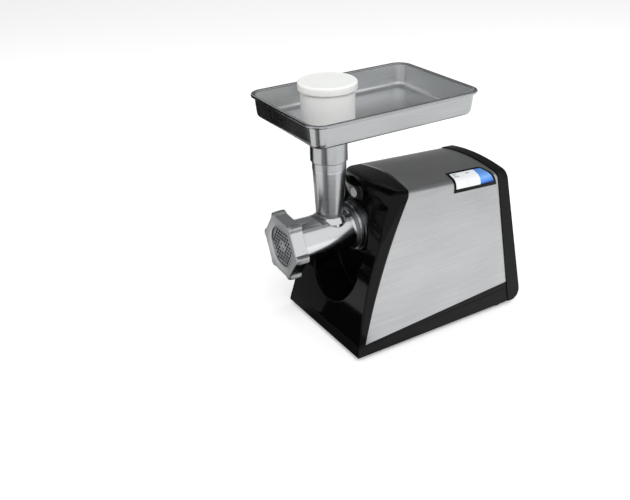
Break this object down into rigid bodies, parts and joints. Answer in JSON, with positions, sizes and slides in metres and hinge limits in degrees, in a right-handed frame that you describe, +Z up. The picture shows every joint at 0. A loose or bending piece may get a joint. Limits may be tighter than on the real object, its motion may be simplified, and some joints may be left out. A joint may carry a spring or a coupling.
{
  "type": "electric meat grinder",
  "caption": "Countertop electric meat grinder: black housing with brushed steel cover, twist-lock grinding head, ring nut, hopper tray and pusher.",
  "frame": {"origin": "on the table plane, at the middle of the machine's length and width", "axes": "+Z up, -Y towards the grinding head's outlet, +X to the side with the switches"},
  "size_m": [0.2168, 0.406, 0.4234],
  "materials": {
    "gloss_black": "injection-moulded gloss black ABS",
    "satin_black": "injection-moulded satin black ABS",
    "brushed_steel": "brushed stainless steel sheet",
    "tray_steel": "pressed and polished stainless steel",
    "cast_aluminium": "polished cast aluminium",
    "machined_steel": "ground steel",
    "white_plastic": "moulded white polypropylene",
    "blue_plastic": "moulded blue ABS",
    "grey_plastic": "moulded grey ABS",
    "rubber": "moulded rubber",
    "gear_nylon": "moulded glass-filled nylon",
    "motor_iron": "stacked electrical steel",
    "copper": "enamelled copper winding"
  },
  "bodies": {
    "housing": {"base": "satin_black", "feet": "rubber", "front_housing": "gloss_black", "steel_cover": "brushed_steel", "rear_cover": "satin_black", "cord_gland": "rubber", "switch_bezel": "satin_black", "switch_block": "satin_black", "head_socket": "cast_aluminium", "shaft_seal": "rubber", "gearbox_front": "cast_aluminium", "gearbox_rear": "cast_aluminium", "gearbox_screws": "machined_steel", "layshaft_pin": "machined_steel", "output_bearings": "machined_steel", "motor_bearings": "machined_steel", "motor_stator": "motor_iron", "field_coils": "copper", "motor_bracket": "cast_aluminium", "brush_holders": "satin_black", "motor_studs": "machined_steel", "base_screws": "machined_steel"},
    "rotor": {"rotor_shaft": "machined_steel", "rotor_core": "motor_iron", "commutator": "copper", "cooling_fan": "satin_black"},
    "layshaft": {"layshaft_gear": "gear_nylon", "layshaft_pinion": "machined_steel"},
    "auger_drive": {"output_gear": "gear_nylon", "output_shaft": "machined_steel", "auger": "cast_aluminium", "auger_bush": "white_plastic", "cross_knife": "machined_steel"},
    "head": {"grinder_head": "cast_aluminium", "plate_key": "machined_steel"},
    "plate": {"cutting_plate": "machined_steel"},
    "nut": {"ring_nut": "cast_aluminium"},
    "tray": {"hopper_tray": "tray_steel"},
    "pusher": {"pusher": "white_plastic"},
    "lid": {"pusher_lid": "white_plastic"},
    "lock": {"lock_button": "grey_plastic", "lock_latch": "machined_steel", "lock_spring": "machined_steel"},
    "key_reverse": {"button_reverse": "white_plastic"},
    "key_off": {"button_off": "white_plastic"},
    "key_on": {"button_on": "blue_plastic"}
  },
  "joints": [
    {"name": "auger_spin", "type": "hinge", "parent": "housing", "child": "auger_drive", "pos_m": [0, -0.028, 0.179], "axis": [0, 1, 0], "continuous": true},
    {"name": "layshaft_spin", "type": "hinge", "parent": "housing", "child": "layshaft", "pos_m": [0, -0.008, 0.116], "axis": [0, 1, 0], "continuous": true},
    {"name": "rotor_spin", "type": "hinge", "parent": "housing", "child": "rotor", "pos_m": [0, 0.072, 0.068], "axis": [0, 1, 0], "continuous": true},
    {"name": "head_twist", "type": "hinge", "parent": "housing", "child": "head", "pos_m": [0, -0.128, 0.179], "axis": [0, 1, 0], "range_deg": [0, 35]},
    {"name": "plate_slide", "type": "slide", "parent": "head", "child": "plate", "axis": [0, -1, 0], "range_m": [0, 0.009]},
    {"name": "nut_turn", "type": "hinge", "parent": "plate", "child": "nut", "pos_m": [0, -0.192, 0.179], "axis": [0, 1, 0], "range_deg": [0, 1080]},
    {"name": "tray_lift", "type": "slide", "parent": "head", "child": "tray", "axis": [0, 0, 1], "range_m": [0, 0.06]},
    {"name": "pusher_lift", "type": "slide", "parent": "tray", "child": "pusher", "axis": [0, 0, 1], "range_m": [0, 0.15]},
    {"name": "lid_lift", "type": "slide", "parent": "pusher", "child": "lid", "axis": [0, 0, 1], "range_m": [0, 0.02]},
    {"name": "lock_press", "type": "slide", "parent": "housing", "child": "lock", "axis": [0, 1, 0], "range_m": [0, 0.0035], "stiffness_N_per_m": 900, "springref_m": -0.003, "deforming": ["lock_spring"]},
    {"name": "reverse_press", "type": "slide", "parent": "housing", "child": "key_reverse", "axis": [-0.6557, -0.0448, -0.7537], "range_m": [0, 0.002], "stiffness_N_per_m": 900, "springref_m": -0.002},
    {"name": "off_press", "type": "slide", "parent": "housing", "child": "key_off", "axis": [-0.6557, -0.0448, -0.7537], "range_m": [0, 0.002], "stiffness_N_per_m": 900, "springref_m": -0.002},
    {"name": "on_press", "type": "slide", "parent": "housing", "child": "key_on", "axis": [-0.6557, -0.0448, -0.7537], "range_m": [0, 0.002], "stiffness_N_per_m": 900, "springref_m": -0.002}
  ],
  "couplings": [
    {"joint": "layshaft_spin", "follows": "auger_spin", "ratio": -6},
    {"joint": "rotor_spin", "follows": "auger_spin", "ratio": 42},
    {"joint": "plate_slide", "follows": "nut_turn", "m_per_rad": 0.00047746}
  ]
}
